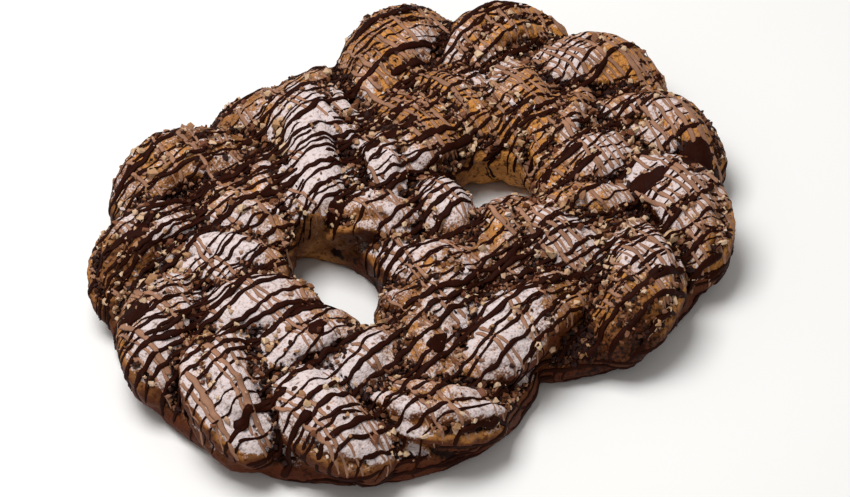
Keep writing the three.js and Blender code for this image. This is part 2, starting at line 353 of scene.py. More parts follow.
class KringleToppings(bpy.types.PropertyGroup):
    """Sizes and numbers of what lies on the dough"""

    seed: a_count("Seed", "Start of every random draw", 7)
    relief_step: a_length("Relief step", "Spacing at which the dough's height is felt", 1)
    dark_between: a_count("Thinner dark lines", "Lines between each two of the thickest", 8)
    dark_half_width: a_length("Dark half width", "Half of a usual dark line", 1)
    thick_half_width: a_length("Thick half width", "Half of a thickest dark line", 2.2)
    milk_half_width: a_length("Milk half width", "Half of a usual milk chocolate line", 1.4)
    least_level: a_length("Least level", "Drizzle that is poured lower down than this has run off", 18)
    fall: a_length("Fall", "How far the longest drips ran down the sides", 32)
    nuts: a_count("Nuts", "Bits of chopped nut", 1150)
    nut_radius: a_length("Nut radius", "Half of a usual bit of nut", 2)
    crumbs: a_count("Crumbs", "Crumbs of dough, chocolate and sugar", 10800)
    crumb_radius: a_length("Crumb radius", "Half of a usual crumb", 1.2)


class KringleColours(bpy.types.PropertyGroup):
    """Colours of the finishes"""

    crust_pale: a_colour("Pale crust", "Crust that only just browned", "#cc8a45")
    crust_golden: a_colour("Golden crust", "Most of the crust", "#a87343")
    crust_brown: a_colour("Brown crust", "Crust where it baked hardest", "#6e3e1d")
    crust_low: a_colour("Low crust", "The sides, and near the tray", "#52240f")
    # Partly chocolate stain and partly painted shade: the near-black colour mixed into the dough's creases.
    crease_shade_and_stain: a_colour("Crease", "Deep between the ropes, stained by chocolate", "#1e0a03")
    sugar: a_colour("Icing sugar", "Thick dusted sugar", "#ddcdcb")
    dark: a_colour("Dark chocolate", "The drizzle along the eight", "#280d05")
    milk: a_colour("Milk chocolate", "The drizzle across the eight", "#9b7159")
    nut_pale: a_colour("Pale nut", "Cut faces of the nuts", "#d3b493")
    nut_tan: a_colour("Tan nut", "Toasted faces", "#ab8058")
    nut_brown: a_colour("Brown nut", "Skin that stayed on", "#70412a")
    floor: a_colour("Floor", "The pale ground that the kringle lies on", "#f6f5f3")
    surroundings: a_colour("Surroundings", "The light from all around", "#fbfaf8")


class KringleStage(bpy.types.PropertyGroup):
    """The camera and the light"""

    azimuth: an_angle("Azimuth", "The camera's turn about the vertical, from looking along +Y", -39.2)
    elevation: an_angle("Elevation", "The camera's height above the horizon", 48.5)
    distance: a_length("Distance", "From the camera to the point that it looks at", 2000)
    view_width: a_length("View width", "Width of the picture at that point", 533)
    aim_level: a_length("Aim level", "Height of the point that frames the picture", 25)
    aim_right: a_length("Aim right", "The picture's middle, right of the eight's middle", 6.3)
    aim_down: a_length("Aim down", "The picture's middle, below the eight's middle", 9)
    key_power: a_strength("Key power", "The large soft light, in watts", 28, "POWER")
    world_strength: a_strength("World strength", "Light from all around", 0.36)


def select_only(piece):
    """Leaves one object selected and active."""
    bpy.ops.object.select_all(action="DESELECT")
    piece.select_set(True)
    bpy.context.view_layer.objects.active = piece


def points_of(piece):
    """An object's vertices as an array of points."""
    flat = np.empty(len(piece.data.vertices) * 3, np.float32)
    piece.data.vertices.foreach_get("co", flat)
    return flat.reshape(-1, 3).astype(float)


def move_points(piece, points):
    """Puts an object's vertices at new places."""
    piece.data.vertices.foreach_set("co", points.astype(np.float32).ravel())
    piece.data.update()


def store(piece, name, values):
    """Keeps a number for each vertex, for a material to read."""
    attribute = piece.data.attributes.new(name, "FLOAT", "POINT")
    attribute.data.foreach_set("value", np.asarray(values, np.float32))


def piece_from(name, points, faces):
    """A new object in the scene from arrays of points and faces."""
    mesh = bpy.data.meshes.new(name)
    mesh.from_pydata(points.tolist(), [], faces)
    piece = bpy.data.objects.new(name, mesh)
    bpy.context.scene.collection.objects.link(piece)
    return piece


def finish_piece(piece, material):
    """Gives a piece its material and its body."""
    piece.data.materials.clear()
    piece.data.materials.append(material)
    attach(piece, BODY)


def unit(vectors):
    """Vectors at length one."""
    return vectors / np.maximum(np.linalg.norm(vectors, axis=-1, keepdims=True), TINY)


def eased(values, start, end):
    """0 before start, 1 after end, and smooth between."""
    share = np.clip((values - start) / (end - start), 0, 1)
    return share * share * (3 - 2 * share)


class Plait:
    """The plait's course: a figure of eight by its length, and the ropes that swing across it."""

    def __init__(self, dough):
        self.dough = dough
        self.x_reach = (dough.eight_length - dough.plait_width) / 2
        self.y_reach = (dough.eight_width - dough.plait_width) / 2
        self.shares = np.linspace(0, 1, COURSE_DIVISIONS + 1)
        legs = np.linalg.norm(np.diff(self.plan(self.shares), axis=0), axis=1)
        self.lengths = np.concatenate(((0.0,), np.cumsum(legs))) / legs.sum()

    def plan(self, share):
        """The middle line in plan: an eight whose loops are rounder than a plain lemniscate's."""
        turn = TAU * share
        crest = self.dough.loop_crest * math.sqrt(2)
        wide = (self.x_reach + crest) / 2
        rounding = (crest - self.x_reach) / 2
        reach = self.y_reach + QUARTER_REACH[np.floor(QUARTERS * share).astype(int) % QUARTERS]
        x = wide * np.sin(turn) + rounding * np.sin(3 * turn) + self.dough.bar_offset * np.cos(turn) ** 2
        return np.stack((x, reach * np.sin(2 * turn), np.zeros_like(x)), axis=-1)

    def middle(self, along):
        """The middle line's point and the direction to its left, at a share of its length."""
        share = np.interp(along % 1, self.lengths, self.shares)
        near = 1e-4
        ahead = unit(self.plan((share + near) % 1) - self.plan((share - near) % 1))
        return self.plan(share), np.cross(UP, ahead)

    def nearness(self, along, centre):
        """1 at the centre, falling smoothly to 0 at the crossing's reach."""
        gap = np.abs(along - centre) / CROSSING_REACH
        return np.where(gap < 1, np.cos(np.minimum(gap, 1) * math.pi / 2) ** 2, 0)

    def width_share(self, along):
        """The plait's share of its usual width, less towards the crossing."""
        near = self.nearness(along, 0) + self.nearness(along, UPPER_PASS) + self.nearness(along, 1)
        heft = QUARTER_HEFT[np.floor(QUARTERS * along).astype(int) % QUARTERS]
        bar = self.dough.bar_width / self.dough.plait_width
        return 1 - (1 - bar) * near + heft * np.sin(math.pi * QUARTERS * along) ** 2

    def swing(self, swing, share):
        """One swing of a rope from edge to edge: points, half widths and half heights."""
        dough = self.dough
        along = ((swing + FIRST_SWING + ROPES * (share - 0.5)) / SWINGS) % 1
        middle, side = self.middle(along)
        wide = self.width_share(along)
        wave = -np.sin(TAU * share)
        uneven = sum(part * math.sin(turn * swing) for part, turn in UNEVEN_WAVES)
        filled = TUCK + (1 - TUCK) * np.minimum(1, share / TUCK_REACH)
        fullness = wide * filled * (1 + SWELL * wave + UNEVENNESS * uneven)
        edge = 1 if swing % 2 else -1
        reach = (dough.plait_width / 2 - dough.rope_half_width) * wide
        across = edge * reach * np.sin(math.pi * (share - 0.5))
        level = dough.rope_level + dough.weave_height * wave
        level = level + dough.crossing_lift * self.nearness(along, UPPER_PASS)
        points = middle + side * across[:, None] + UP * level[:, None]
        return points, dough.rope_half_width * fullness, dough.rope_half_height * fullness

    def base(self, quarter, share):
        """A quarter of the base that the ropes' undersides run together into."""
        dough = self.dough
        along = (quarter + share) / QUARTERS
        middle, _ = self.middle(along)
        half_width = (dough.plait_width / 2 - dough.base_inset) * self.width_share(along % 1)
        return middle + UP * dough.base_level, half_width, np.full_like(share, dough.base_half_height)

    def closing(self, share):
        """The rope over the joint."""
        points = CLOSING_START + (CLOSING_END - CLOSING_START) * share[:, None]
        points = points + UP * (CLOSING_BOW * np.sin(math.pi * share))[:, None]
        half_width = np.full_like(share, self.dough.closing_half_width)
        return points, half_width, np.full_like(share, self.dough.closing_half_height)

    def courses(self):
        """Each course, with the depth, number and turn of the grooves along it."""
        groove = self.dough.groove_depth / self.dough.rope_half_height
        for swing in range(SWINGS):
            depth = groove * (1 + GROOVE_CHANGE * math.sin(GROOVE_CHANGE_TURN * swing))
            lobes = ROPE_LOBES[swing % len(ROPE_LOBES)]
            yield partial(self.swing, swing), depth, lobes, ROPE_PHASE * swing
        yield self.closing, CLOSING_GROOVE * groove, CLOSING_LOBES, CLOSING_PHASE
        for quarter in range(QUARTERS):
            yield partial(self.base, quarter), 0, 1, 0


def drawn_out(blank, course, groove, lobes, phase):
    """A sphere drawn out along a course: its middle becomes the rope and its poles the round ends.
    Grooves run along the rope between its lobes, and turn with it."""
    latitude = np.arcsin(np.clip(blank[:, 2], -1, 1)) / math.pi
    share = np.clip(0.5 + latitude / (2 * CAP_LATITUDE), 0, 1)
    cap = np.maximum(np.abs(latitude) - CAP_LATITUDE, 0) * TAU
    point, half_width, half_height = course(share)
    after = course(np.minimum(1, share + HEADING_SPAN))[0]
    forward = unit(after - course(np.maximum(0, share - HEADING_SPAN))[0])
    side = unit(np.cross(UP, forward))
    top = np.cross(forward, side)
    angle = np.arctan2(blank[:, 1], blank[:, 0])
    lobe = np.abs(np.cos(lobes * angle / 2 + phase + GROOVE_TWIST * share)) - 1
    ring = np.cos(cap) * (1 + groove * lobe)
    beyond = np.sign(latitude) * np.sin(cap) * half_width
    return (point + side * (np.cos(angle) * ring * half_width)[:, None]
            + top * (np.sin(angle) * ring * half_height)[:, None] + forward * beyond[:, None])


class Relief:
    """Heights of the upper side of pieces on a square grid, felt by plumb lines from above. The first
    piece is the dough."""

    def __init__(self, pieces, step):
        low, high = CAD_BOX
        margin = GRID_MARGIN * step
        self.step = step
        self.start = np.array((low.x - margin, low.y - margin))
        columns = int((high.x - low.x + 2 * margin) / step) + 1
        rows = int((high.y - low.y + 2 * margin) / step) + 1
        graph = bpy.context.evaluated_depsgraph_get()
        trees = [BVHTree.FromObject(piece, graph) for piece in pieces]
        self.tree = trees[0]
        self.height = np.max([self.felt(tree, columns, rows, 2 * high.z) for tree in trees], axis=0)
        self.dough = (self.height > 0).astype(float)
        self.level = self.blurred(self.height, LEVEL_REACH)
        depth = (self.blurred(self.height, HOLLOW_REACH) - self.height) / HOLLOW_DEPTH
        self.hollow = eased(self.softened(self.dough, EDGE_REACH), *EDGE_SHARES) * np.clip(depth, -1, 1)
        slope_x, slope_y = np.gradient(self.level, step)
        steepness = np.maximum(1, np.hypot(slope_x, slope_y) / STEEPEST)
        self.slope_x = slope_x / steepness
        self.slope_y = slope_y / steepness

    def felt(self, tree, columns, rows, top):
        """Heights at which plumb lines meet one piece, and 0 where they miss it."""
        down = Vector((0, 0, -1))
        height = np.zeros((columns, rows))
        for column in range(columns):
            x = self.start[0] + column * self.step
            for row in range(rows):
                hit = tree.ray_cast(Vector((x, self.start[1] + row * self.step, top)), down)[0]
                height[column, row] = hit.z if hit else 0
        return height

    def softened(self, field, reach):
        """A field softened over a reach, with nothing beyond the grid."""
        half = max(1, int(2 * reach / self.step))
        weights = np.exp(-((np.arange(-half, half + 1) * self.step / reach) ** 2))
        weights = weights / weights.sum()
        for axis in (0, 1):
            padded = np.pad(field, [(half, half) if side == axis else (0, 0) for side in (0, 1)])
            length = field.shape[axis]
            field = sum(weight * np.take(padded, np.arange(shift, shift + length), axis=axis)
                        for shift, weight in enumerate(weights))
        return field

    def blurred(self, field, reach):
        """A field softened over a reach, reading only where there is dough."""
        share = np.maximum(self.softened(self.dough, reach), LEAST_DOUGH)
        return self.softened(field * self.dough, reach) / share

    def inland(self):
        """Where bits can lie without hanging over the dough's edge."""
        return self.softened(self.dough, INLAND_REACH) > INLAND_SHARE

    def read(self, field, x, y):
        """A field at places in plan, between its grid points."""
        last = 1.001  # keeps the next grid point inside the field
        across = np.clip((x - self.start[0]) / self.step, 0, field.shape[0] - last)
        along = np.clip((y - self.start[1]) / self.step, 0, field.shape[1] - last)
        column, row = across.astype(int), along.astype(int)
        right, far = across - column, along - row
        near_side = field[column, row] * (1 - right) + field[column + 1, row] * right
        far_side = field[column, row + 1] * (1 - right) + field[column + 1, row + 1] * right
        return near_side * (1 - far) + far_side * far

    def plan(self):
        """Places in plan of all the grid's points."""
        columns, rows = self.height.shape
        x = self.start[0] + self.step * np.arange(columns)
        y = self.start[1] + self.step * np.arange(rows)
        return np.meshgrid(x, y, indexing="ij")

    def normal(self, x, y):
        """The dough's upward direction at places in plan."""
        slopes = -self.read(self.slope_x, x, y), -self.read(self.slope_y, x, y)
        return unit(np.stack((*slopes, np.ones_like(x)), axis=-1))


def averaged(values, reach):
    """Values softened along a line."""
    window = np.hanning(2 * reach + 3)[1:-1]
    return np.convolve(np.pad(values, reach, mode="edge"), window / window.sum(), mode="valid")


def bridged(values, reach):
    """Heights along a line, with dips up to about twice the reach spanned."""
    windows = np.lib.stride_tricks.sliding_window_view
    raised = windows(np.pad(values, 2 * reach, mode="edge"), 2 * reach + 1).max(axis=1)
    return windows(raised, 2 * reach + 1).min(axis=1)


def runs(mask):
    """Starts and ends of the mask's unbroken stretches that are long enough to be poured."""
    edges = np.diff(np.concatenate(((0,), mask.astype(int), (0,))))
    ends = zip(np.flatnonzero(edges == 1), np.flatnonzero(edges == -1))
    return [(start, end) for start, end in ends if end - start > LEAST_RUN]


class Beads:
    """Lines and pools of chocolate that set on the dough, gathered into one mesh. Rings along a line
    are a step apart, its height is a share of its width by its flatness, it spans dips by its span, ends
    below the least level and in hollows past the deepest, and drips down the sides as far as its fall."""

    def __init__(self, relief, rng, step, flatness, span, deepest, least_level, fall):
        self.relief = relief
        self.rng = rng
        self.step = step
        self.flatness = flatness
        self.span = span
        self.deepest = deepest
        self.least_level = least_level
        self.fall = fall
        self.points = []
        self.faces = []
        self.count = 0

    def keep(self, points, faces):
        """Adds a closed mesh to what is gathered."""
        self.points.append(points)
        self.faces.extend([[corner + self.count for corner in face] for face in faces])
        self.count += len(points)

    def pour(self, x, y, half_width, clear=True):
        """Pours a line through places in plan, wherever clear dough is under it, and down its sides."""
        height = self.relief.read(self.relief.height, x, y)
        hollow = self.relief.read(self.relief.hollow, x, y)
        for start, end in runs((height > self.least_level) & (hollow < self.deepest) & clear):
            path = np.stack((x, y, height), axis=1)[start:end]
            self.bead(np.concatenate((self.drip(path[::-1])[::-1], path, self.drip(path))), half_width)

    def drip(self, path):
        """Points down the dough's side from the end of a path, as far as the chocolate ran."""
        outward = unit((path[-1] - path[-4]) * (1, 1, 0))
        points = [path[-1]]
        for fall in np.arange(DRIP_STEP, self.rng.uniform(DRIP_LEAST, 1) * self.fall, DRIP_STEP):
            start = path[-1] + outward * DRIP_REACH - UP * fall
            hit = self.relief.tree.ray_cast(Vector(start), Vector(-outward), 2 * DRIP_REACH)[0]
            if hit is None or hit.z < DRIP_LEVEL or math.dist(hit, points[-1]) > DRIP_JUMP:
                break
            points.append(np.array(hit))
        return np.array(points[1:]).reshape(-1, 3)

    def flank(self, x, level, toward, half_width, clear):
        """A line along X that landed on a steep side, as it is met by rays toward +Y or -Y."""
        start_y = -toward * CAD_BOX[1].y * FLANK_START
        hits = [self.relief.tree.ray_cast(Vector((place, start_y, height)), Vector((0, toward, 0)))[0]
                for place, height in zip(x, level)]
        y = np.array([hit.y if hit else start_y for hit in hits])
        even = np.abs(np.diff(y, prepend=y[0])) < FLANK_JUMP
        for start, end in runs((y != start_y) & even & clear):
            levelled = averaged(y[start:end], FLANK_LEVELLING)
            path = np.stack((x[start:end], levelled, level[start:end]), axis=1)
            self.bead(path, half_width, np.array((0, -toward, LINE_UPRIGHT)))

    def bead(self, path, half_width, facing=None):
        """One unbroken bead, thick and thin along its way, with round ends."""
        height = path[:, 2]
        level = averaged(np.maximum(averaged(bridged(height, self.span), 1), height), 1)
        places = np.stack((path[:, 0], path[:, 1], level), axis=1)
        gone = np.concatenate(((0.0,), np.cumsum(np.linalg.norm(np.diff(places, axis=0), axis=1))))
        count = max(LEAST_RINGS, int(gone[-1] / self.step))
        at = np.linspace(0, gone[-1], count)
        places = np.stack([np.interp(at, gone, places[:, axis]) for axis in range(3)], axis=1)
        phases = self.rng.uniform(0, TAU, len(LINE_PULSES))
        pulse = sum(part * np.sin(at / length + phase)
                    for (part, length), phase in zip(LINE_PULSES, phases))
        forward = unit(np.gradient(places, axis=0))
        half = half_width * (1 + LINE_UNEVENNESS * pulse) * (1 - LINE_THINNING * forward[:, 2] ** 2)
        end = np.clip(np.minimum(at, gone[-1] - at) / half_width, LEAST_END, 1)
        half = half * np.sqrt(1 - (1 - end) ** 2)
        if facing is None:
            facing = self.relief.normal(places[:, 0], places[:, 1]) + LINE_UPRIGHT * UP
        across = unit(np.cross(facing, forward))
        rise = np.cross(forward, across)
        sides = LINE_SIDES
        turn = TAU * np.arange(sides) / sides
        high = self.flatness * half
        middle = places + rise * (LINE_LIFT * high)[:, None]
        rings = (middle[:, None]
                 + across[:, None] * (half[:, None] * np.cos(turn))[:, :, None]
                 + rise[:, None] * (high[:, None] * np.sin(turn))[:, :, None])
        faces = [(ring * sides + side, ring * sides + (side + 1) % sides,
                  (ring + 1) * sides + (side + 1) % sides, (ring + 1) * sides + side)
                 for ring in range(count - 1) for side in range(sides)]
        faces.append(tuple(reversed(range(sides))))
        faces.append(tuple(range((count - 1) * sides, count * sides)))
        self.keep(rings.reshape(-1, 3), faces)

    def pool(self, x, y, half_length, half_width):
        """A patch where lines ran together: a low dome draped on the dough."""
        rings, spokes = POOL_RINGS, POOL_SPOKES
        turn = TAU * np.arange(spokes) / spokes
        edge = np.ones(spokes)
        for (waves, share), phase in zip(POOL_WAVES, self.rng.uniform(0, TAU, len(POOL_WAVES))):
            edge = edge + share * np.sin(waves * turn + phase)
        out = np.arange(1, rings + 1)[:, None] / rings
        plan_x = x + half_length * out * edge * np.cos(turn)
        plan_y = y + half_width * out * edge * np.sin(turn)
        relief = self.relief
        dome = POOL_THICKNESS * np.sqrt(1 - out ** 2)
        top = np.stack((plan_x, plan_y, relief.read(relief.level, plan_x, plan_y) + dome), axis=-1)
        under = top - UP * (2 * dome + POOL_SKIRT)[..., None]
        centre = np.array((x, y, relief.read(relief.level, np.array(x), np.array(y))))
        peaks = [centre + UP * POOL_THICKNESS, centre - UP * (POOL_THICKNESS + POOL_SKIRT)]
        faces = []
        lower = rings * spokes
        peak = 2 * lower
        rim = (rings - 1) * spokes
        for spoke in range(spokes):
            following = (spoke + 1) % spokes
            faces.append((peak, spoke, following))
            faces.append((peak + 1, lower + following, lower + spoke))
            for inner in range(0, rim, spokes):
                outer = inner + spokes
                faces.append((inner + spoke, outer + spoke, outer + following, inner + following))
                faces.append((lower + inner + following, lower + outer + following,
                              lower + outer + spoke, lower + inner + spoke))
            faces.append((rim + spoke, lower + rim + spoke, lower + rim + following, rim + following))
        self.keep(np.concatenate((top.reshape(-1, 3), under.reshape(-1, 3), peaks)), faces)

    def piece(self, name):
        """The gathered mesh as one smooth object."""
        made = piece_from(name, np.concatenate(self.points), self.faces)
        select_only(made)
        bpy.ops.object.shade_smooth()
        return made


def chopped(count, roughness):
    """A few angular bits: round blanks with their corners pulled about, as points and faces."""
    bits = []
    for seed in range(count):
        bpy.ops.mesh.primitive_ico_sphere_add(subdivisions=1, radius=1)
        blank = bpy.context.object
        bpy.ops.object.mode_set(mode="EDIT")
        bpy.ops.mesh.select_all(action="SELECT")
        bpy.ops.transform.vertex_random(offset=roughness, uniform=0.2, normal=0, seed=seed + 1)
        bpy.ops.mesh.convex_hull()
        bpy.ops.mesh.quads_convert_to_tris()
        bpy.ops.mesh.normals_make_consistent(inside=False)
        bpy.ops.object.mode_set(mode="OBJECT")
        bits.append((points_of(blank), np.array([face.vertices[:] for face in blank.data.polygons])))
        mesh = blank.data
        bpy.data.objects.remove(blank)
        bpy.data.meshes.remove(mesh)
    return bits


def turned(rng, count):
    """Random turns, as rotation matrices."""
    w, x, y, z = unit(rng.normal(size=(count, 4))).T
    rows = ((1 - 2 * (y * y + z * z), 2 * (x * y - w * z), 2 * (x * z + w * y)),
            (2 * (x * y + w * z), 1 - 2 * (x * x + z * z), 2 * (y * z - w * x)),
            (2 * (x * z - w * y), 2 * (y * z + w * x), 1 - 2 * (x * x + y * y)))
    return np.moveaxis(np.array(rows), 2, 0)


def scatter(name, rng, bits, places, sizes, tones):
    """Bits copied to places, each with a turn, a size along its own axes and a tone, as one object."""
    kinds = rng.integers(0, len(bits), len(places))
    turns = turned(rng, len(places))
    points, faces, shades, count = [], [], [], 0
    for kind, (shape, corners) in enumerate(bits):
        chosen = np.flatnonzero(kinds == kind)
        stretched = shape[None] * sizes[chosen][:, None]
        copies = np.einsum("nij,nkj->nki", turns[chosen], stretched) + places[chosen][:, None]
        starts = count + len(shape) * np.arange(len(chosen))
        points.append(copies.reshape(-1, 3))
        faces.append((corners[None] + starts[:, None, None]).reshape(-1, 3))
        shades.append(np.repeat(tones[chosen], len(shape)))
        count += len(shape) * len(chosen)
    piece = piece_from(name, np.concatenate(points), np.concatenate(faces).tolist())
    store(piece, "tone", np.concatenate(shades))
    return piece


def strewn(relief, rng, weights, count):
    """Places on the dough, drawn by weights over the relief's grid."""
    chances = (weights / weights.sum()).ravel()
    cells = rng.choice(chances.size, size=count, p=chances)
    column, row = np.unravel_index(cells, weights.shape)
    plan = np.stack((column, row), axis=1) + rng.uniform(-0.5, 0.5, (count, 2))
    x, y = (relief.start + plan * relief.step).T
    return x, y, relief.read(relief.height, x, y)


def bit_sizes(rng, count, radius, spread, most, stretch):
    """Half sizes of bits along their own axes: about a radius, at most so many times it, then stretched."""
    even = radius * np.minimum(rng.lognormal(0, spread, (count, 1)), most)
    return even * rng.uniform(*stretch, (count, 3))


def wander(rng, along, waves):
    """How a line sways across its way: for each wave, ranges of its height and length in millimetres."""
    sway = np.zeros_like(along)
    for least, most, short, long in waves:
        turn = TAU * along / (rng.uniform(short, long) * MM) + rng.uniform(0, TAU)
        sway = sway + rng.uniform(least, most) * MM * np.sin(turn)
    return sway


def patchy(relief, rng, reach):
    """A field of soft random patches between 0 and 1."""
    field = relief.blurred(rng.normal(size=relief.height.shape), reach) * relief.dough
    return 0.5 + 0.5 * np.tanh(field / max(field.std(), TINY))


def new_material(name):
    """A material without nodes, and its node tree."""
    material = bpy.data.materials.new(name)
    material.use_nodes = True
    material.node_tree.nodes.clear()
    return material, material.node_tree


def add(tree, kind, inputs=None, stops=None, **settings):
    """Adds a node with its settings, its inputs as values or links, and a ramp's stops."""
    made = tree.nodes.new(kind)
    for name, value in settings.items():
        setattr(made, name, value)
    for name, value in (inputs or {}).items():
        if isinstance(value, bpy.types.NodeSocket):
            tree.links.new(value, made.inputs[name])
        else:
            made.inputs[name].default_value = value
    for place, (position, colour) in enumerate(stops or ()):
        ramp = made.color_ramp.elements
        stop = ramp[place] if place < len(ramp) else ramp.new(position)
        stop.position = position
        stop.color = colour
    return made


def per_metre(millimetres):
    """A noise scale whose features are about that wide."""
    return 1 / (millimetres * MM)


def dimmed(colour, share):
    """A colour at a share of its brightness, up to the brightest."""
    return [min(1.0, share * part) for part in colour[:3]] + [1.0]


def dough_material(colours):
    """Yeast dough baked golden: silky where bare, redder on the low sides, dark in the creases with
    chocolate stain and painted shade, and under icing sugar a chalky white that breaks up into grains at
    its edges."""
    material, tree = new_material("Baked yeast dough with icing sugar")
    place = add(tree, "ShaderNodeTexCoord").outputs["Object"]
    sugar, hollow, low, pale = (
        add(tree, "ShaderNodeAttribute", attribute_name=name).outputs["Fac"]
        for name in ("sugar", "hollow", "low", "pale"))
    browning, freckles, grains, clouds = (
        add(tree, "ShaderNodeTexNoise", {"Vector": place, "Scale": per_metre(width), "Detail": detail}
            ).outputs["Fac"] for width, detail in DOUGH_PATTERNS)
    baked, shade_and_stain, broken = (
        add(tree, "ShaderNodeMath", {0: first, 1: second}, operation="ADD").outputs[0]
        for first, second in ((browning, pale), (hollow, freckles), (grains, clouds)))
    crust = add(tree, "ShaderNodeValToRGB", {"Fac": baked}, stops=[
        (0.3, colours.crust_brown), (0.5, colours.crust_golden), (0.7, colours.crust_pale)])
    freckled, shaded_and_stained = (
        add(tree, "ShaderNodeValToRGB", {"Fac": pattern}, stops=[(start, BLACK), (end, WHITE)]
            ).outputs["Color"] for pattern, start, end in ((freckles, 0.5, 0.72), (shade_and_stain, 0.56, 0.84)))
    dusted = add(tree, "ShaderNodeMath", {0: sugar, 1: broken}, operation="ADD")
    cover = add(tree, "ShaderNodeMapRange", {
        "Value": dusted.outputs[0], "From Min": 1.33, "From Max": 1.66}, interpolation_type="SMOOTHSTEP")
    pores = add(tree, "ShaderNodeMapRange", {"Value": freckled, "To Min": 1.0, "To Max": 0.2})
    white = add(tree, "ShaderNodeMath", {
        0: cover.outputs["Result"], 1: pores.outputs["Result"]}, operation="MULTIPLY").outputs[0]
    colour = crust.outputs["Color"]
    # The hollows' dark colour is chocolate stain there, and painted shade where shade falls in the creases.
    for share, over in ((freckled, colours.crust_brown), (low, colours.crust_low),
                        (shaded_and_stained, colours.crease_shade_and_stain), (white, colours.sugar)):
        colour = add(tree, "ShaderNodeMix", {"Factor": share, "A": colour, "B": over},
                     data_type="RGBA").outputs["Result"]
    matt = add(tree, "ShaderNodeMapRange", {"Value": white, "To Min": 0.5, "To Max": 0.95})
    bump = add(tree, "ShaderNodeBump", {"Height": broken, "Strength": 0.8, "Distance": 1.2 * MM})
    shader = add(tree, "ShaderNodeBsdfPrincipled", {
        "Base Color": colour, "Roughness": matt.outputs["Result"],
        "Normal": bump.outputs["Normal"], "IOR": 1.45, "Specular IOR Level": 0.08})
    add(tree, "ShaderNodeOutputMaterial", {"Surface": shader.outputs["BSDF"]})
    return material


def chocolate_material(name, colour, roughness, specular):
    """Tempered chocolate set from a pour: even in colour, with a soft satin shine and a faint ripple."""
    material, tree = new_material(name)
    place = add(tree, "ShaderNodeTexCoord").outputs["Object"]
    bloom, ripple = (
        add(tree, "ShaderNodeTexNoise", {"Vector": place, "Scale": per_metre(width), "Detail": 3.0}
            ).outputs["Fac"] for width in (14, 2.4))
    tone = add(tree, "ShaderNodeValToRGB", {"Fac": bloom},
               stops=[(0.3, dimmed(colour, 0.78)), (0.7, dimmed(colour, 1.22))])
    shine = add(tree, "ShaderNodeMapRange", {
        "Value": ripple, "To Min": roughness - 0.1, "To Max": roughness + 0.1})
    bump = add(tree, "ShaderNodeBump", {"Height": ripple, "Strength": 0.6, "Distance": 1.0 * MM})
    shader = add(tree, "ShaderNodeBsdfPrincipled", {
        "Base Color": tone.outputs["Color"], "Roughness": shine.outputs["Result"],
        "Normal": bump.outputs["Normal"], "IOR": 1.46, "Specular IOR Level": specular})
    add(tree, "ShaderNodeOutputMaterial", {"Surface": shader.outputs["BSDF"]})
    return material


def bits_material(name, stops, roughness):
    """Chopped bits: each has its own tone, mottled a little, and a dry, matt surface."""
    material, tree = new_material(name)
    place = add(tree, "ShaderNodeTexCoord").outputs["Object"]
    tone = add(tree, "ShaderNodeAttribute", attribute_name="tone").outputs["Fac"]
    mottle = add(tree, "ShaderNodeTexNoise", {"Vector": place, "Scale": per_metre(1.2), "Detail": 2.0})
    shift = add(tree, "ShaderNodeMapRange", {
        "Value": mottle.outputs["Fac"], "To Min": -0.12, "To Max": 0.12})
    mixed = add(tree, "ShaderNodeMath", {0: tone, 1: shift.outputs["Result"]}, operation="ADD")
    colour = add(tree, "ShaderNodeValToRGB", {"Fac": mixed.outputs[0]}, stops=stops)
    bump = add(tree, "ShaderNodeBump", {
        "Height": mottle.outputs["Fac"], "Strength": 0.4, "Distance": 0.4 * MM})
    shader = add(tree, "ShaderNodeBsdfPrincipled", {
        "Base Color": colour.outputs["Color"], "Roughness": roughness, "Normal": bump.outputs["Normal"],
        "IOR": 1.47, "Specular IOR Level": 0.3})
    add(tree, "ShaderNodeOutputMaterial", {"Surface": shader.outputs["BSDF"]})
    return material


def floor_material(colour):
    """A matt painted ground, very slightly uneven in tone."""
    material, tree = new_material("Matt paint")
    place = add(tree, "ShaderNodeTexCoord").outputs["Object"]
    cloud = add(tree, "ShaderNodeTexNoise", {"Vector": place, "Scale": per_metre(400), "Detail": 2.0})
    tone = add(tree, "ShaderNodeValToRGB", {"Fac": cloud.outputs["Fac"]},
               stops=[(0.3, dimmed(colour, 0.97)), (0.7, colour)])
    shader = add(tree, "ShaderNodeBsdfPrincipled", {
        "Base Color": tone.outputs["Color"], "Roughness": 0.9, "Specular IOR Level": 0.2})
    add(tree, "ShaderNodeOutputMaterial", {"Surface": shader.outputs["BSDF"]})
    return material


def apply_modifier(piece, kind, **settings):
    """Adds a modifier with its settings and applies it."""
    modifier = piece.modifiers.new(kind.title(), kind)
    for name, value in settings.items():
        setattr(modifier, name, value)
    bpy.ops.object.modifier_apply(modifier=modifier.name)


def roughen(piece, name, size, height, group=""):
    """Raises and lowers a surface by a soft cloud pattern, as far as a group of its points weighs it."""
    texture = bpy.data.textures.new(name, "CLOUDS")
    texture.noise_scale = size
    texture.noise_depth = 1
    apply_modifier(piece, "DISPLACE", texture=texture, texture_coords="LOCAL", strength=height,
                   mid_level=0.5, vertex_group=group)
    bpy.data.textures.remove(texture)


def relief_of(scene, *names):
    """The relief of pieces that are in the scene."""
    return Relief([bpy.data.objects[name] for name in names], scene.kringle_toppings.relief_step)


def draws_for(scene, name):
    """A piece's own random draws, the same in every run."""
    return np.random.default_rng(scene.kringle_toppings.seed + PIECES.index(name))


def strength_of(patches, x, y):
    """How strong the nearest of some soft patches is at places in plan."""
    found = np.zeros_like(x)
    for place_x, place_y, reach, strength in patches:
        away = np.hypot(x - place_x * MM, y - place_y * MM) / (reach * MM)
        found = np.maximum(found, strength * np.exp(-0.5 * away ** 2))
    return found


